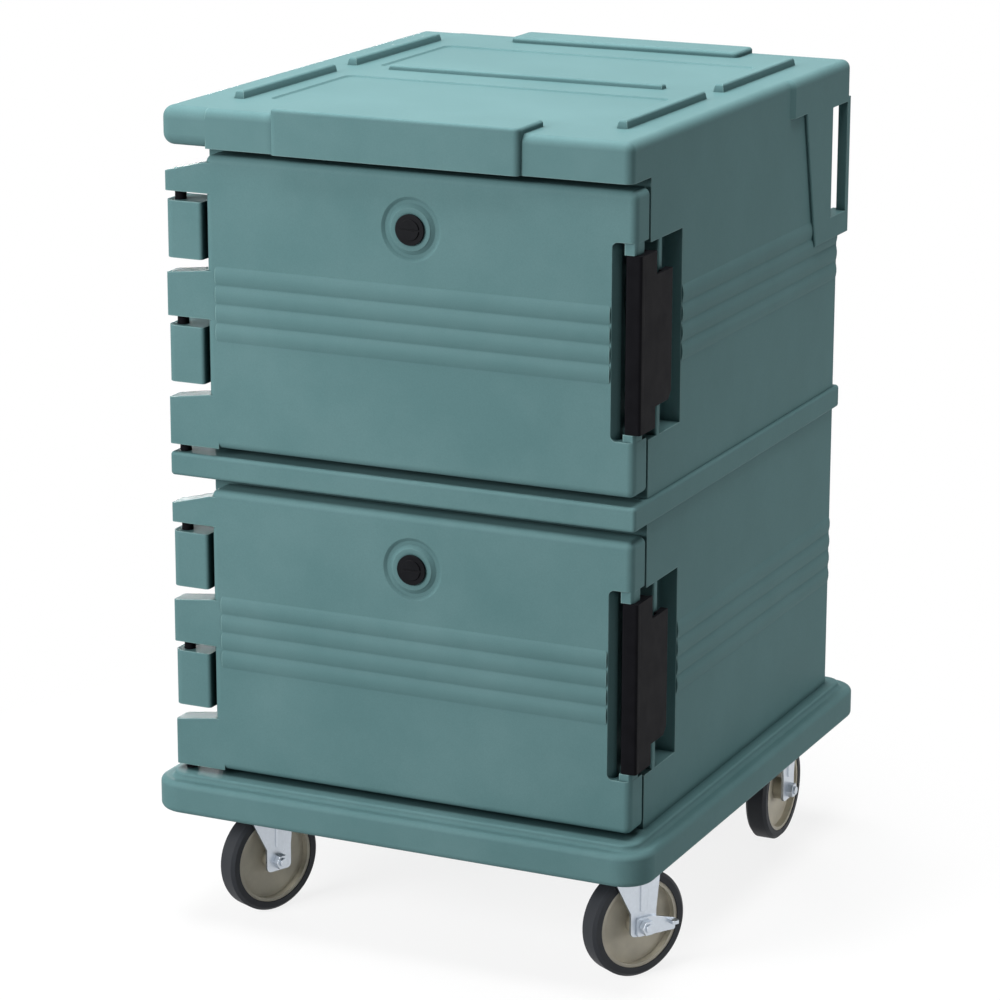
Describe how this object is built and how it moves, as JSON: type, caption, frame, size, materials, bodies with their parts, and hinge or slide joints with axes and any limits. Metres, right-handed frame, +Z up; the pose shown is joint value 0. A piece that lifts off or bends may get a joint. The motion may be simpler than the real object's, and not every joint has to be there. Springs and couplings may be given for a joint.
{
  "type": "insulated food pan carrier",
  "caption": "Tall insulated carrier for food pans: stacked front-opening compartments with latched doors and vents, on a bumper base with swivel and rigid casters.",
  "frame": {"origin": "on the floor under the middle of the base", "axes": "+Z up, +X towards the latch side, +Y towards the back, so the doors face -Y"},
  "size_m": [0.748, 0.842, 1.1685],
  "materials": {
    "polyethylene": "matte",
    "foam": "matte",
    "plug": "matte",
    "gasket": "matte",
    "nylon": "satin",
    "vent": "satin",
    "steel_pin": "satin",
    "zinc_plate": "satin",
    "hub": "matte",
    "tyre": "matte"
  },
  "bodies": {
    "cabinet": {"cabinet_shell": "polyethylene", "cabinet_foam": "foam", "foam_fill_plugs": "plug", "caster_mounting_bolts": "zinc_plate", "front_right_top_plate": "zinc_plate", "front_right_kingpin": "zinc_plate", "front_left_top_plate": "zinc_plate", "front_left_kingpin": "zinc_plate", "rear_right_fork": "zinc_plate", "rear_right_axle_bolt": "zinc_plate", "rear_right_axle_nut": "zinc_plate", "rear_left_fork": "zinc_plate", "rear_left_axle_bolt": "zinc_plate", "rear_left_axle_nut": "zinc_plate"},
    "lower_door": {"lower_door_shell": "polyethylene", "lower_door_foam": "foam", "lower_door_gasket": "gasket", "lower_door_hinge_pins": "nylon", "lower_door_vent_seat": "vent", "lower_door_latch_pin": "steel_pin"},
    "lower_latch": {"lower_door_latch_lever": "nylon", "lower_door_latch_hook": "nylon"},
    "lower_vent": {"lower_door_vent_cap": "vent"},
    "upper_door": {"upper_door_shell": "polyethylene", "upper_door_foam": "foam", "upper_door_gasket": "gasket", "upper_door_hinge_pins": "nylon", "upper_door_vent_seat": "vent", "upper_door_latch_pin": "steel_pin"},
    "upper_latch": {"upper_door_latch_lever": "nylon", "upper_door_latch_hook": "nylon"},
    "upper_vent": {"upper_door_vent_cap": "vent"},
    "front_right_wheel": {"front_right_tyre": "tyre", "front_right_hub": "hub", "front_right_axle_sleeve": "steel_pin"},
    "front_right_swivel": {"front_right_fork": "zinc_plate", "front_right_axle_bolt": "zinc_plate", "front_right_axle_nut": "zinc_plate", "front_right_ball_ring": "zinc_plate"},
    "front_right_brake": {"front_right_brake_lever": "zinc_plate"},
    "front_left_wheel": {"front_left_tyre": "tyre", "front_left_hub": "hub", "front_left_axle_sleeve": "steel_pin"},
    "front_left_swivel": {"front_left_fork": "zinc_plate", "front_left_axle_bolt": "zinc_plate", "front_left_axle_nut": "zinc_plate", "front_left_ball_ring": "zinc_plate"},
    "rear_right_wheel": {"rear_right_tyre": "tyre", "rear_right_hub": "hub", "rear_right_axle_sleeve": "steel_pin"},
    "rear_left_wheel": {"rear_left_tyre": "tyre", "rear_left_hub": "hub", "rear_left_axle_sleeve": "steel_pin"}
  },
  "joints": [
    {"name": "lower_door_hinge", "type": "hinge", "parent": "cabinet", "child": "lower_door", "pos_m": [-0.3347, -0.3677, 0.427], "axis": [0, 0, -1], "range_deg": [0, 270]},
    {"name": "lower_latch_pivot", "type": "hinge", "parent": "lower_door", "child": "lower_latch", "pos_m": [0.3315, -0.371, 0.427], "axis": [0, 0, -1], "range_deg": [0, 90]},
    {"name": "lower_vent_turn", "type": "hinge", "parent": "lower_door", "child": "lower_vent", "pos_m": [0.0195, -0.38, 0.556], "axis": [0, 1, 0], "range_deg": [0, 90]},
    {"name": "upper_door_hinge", "type": "hinge", "parent": "cabinet", "child": "upper_door", "pos_m": [-0.3347, -0.3677, 0.89], "axis": [0, 0, -1], "range_deg": [0, 270]},
    {"name": "upper_latch_pivot", "type": "hinge", "parent": "upper_door", "child": "upper_latch", "pos_m": [0.3315, -0.371, 0.89], "axis": [0, 0, -1], "range_deg": [0, 90]},
    {"name": "upper_vent_turn", "type": "hinge", "parent": "upper_door", "child": "upper_vent", "pos_m": [0.0195, -0.38, 1.019], "axis": [0, 1, 0], "range_deg": [0, 90]},
    {"name": "front_right_swivel_turn", "type": "hinge", "parent": "cabinet", "child": "front_right_swivel", "pos_m": [0.29375, -0.34, 0.175], "axis": [0, 0, 1], "continuous": true},
    {"name": "front_right_wheel_turn", "type": "hinge", "parent": "front_right_swivel", "child": "front_right_wheel", "pos_m": [0.31384, -0.30657, 0.0762], "axis": [-0.8572, 0.515, 0], "continuous": true},
    {"name": "front_right_brake_press", "type": "hinge", "parent": "front_right_swivel", "child": "front_right_brake", "pos_m": [0.31384, -0.30657, 0.0762], "axis": [-0.8572, 0.515, 0], "range_deg": [0, 20]},
    {"name": "front_left_swivel_turn", "type": "hinge", "parent": "cabinet", "child": "front_left_swivel", "pos_m": [-0.26625, -0.34, 0.175], "axis": [0, 0, 1], "continuous": true},
    {"name": "front_left_wheel_turn", "type": "hinge", "parent": "front_left_swivel", "child": "front_left_wheel", "pos_m": [-0.25026, -0.30443, 0.0762], "axis": [-0.9121, 0.4099, 0], "continuous": true},
    {"name": "rear_right_wheel_turn", "type": "hinge", "parent": "cabinet", "child": "rear_right_wheel", "pos_m": [0.29375, 0.275, 0.0762], "axis": [-1, 0, 0], "continuous": true},
    {"name": "rear_left_wheel_turn", "type": "hinge", "parent": "cabinet", "child": "rear_left_wheel", "pos_m": [-0.26625, 0.275, 0.0762], "axis": [-1, 0, 0], "continuous": true}
  ]
}
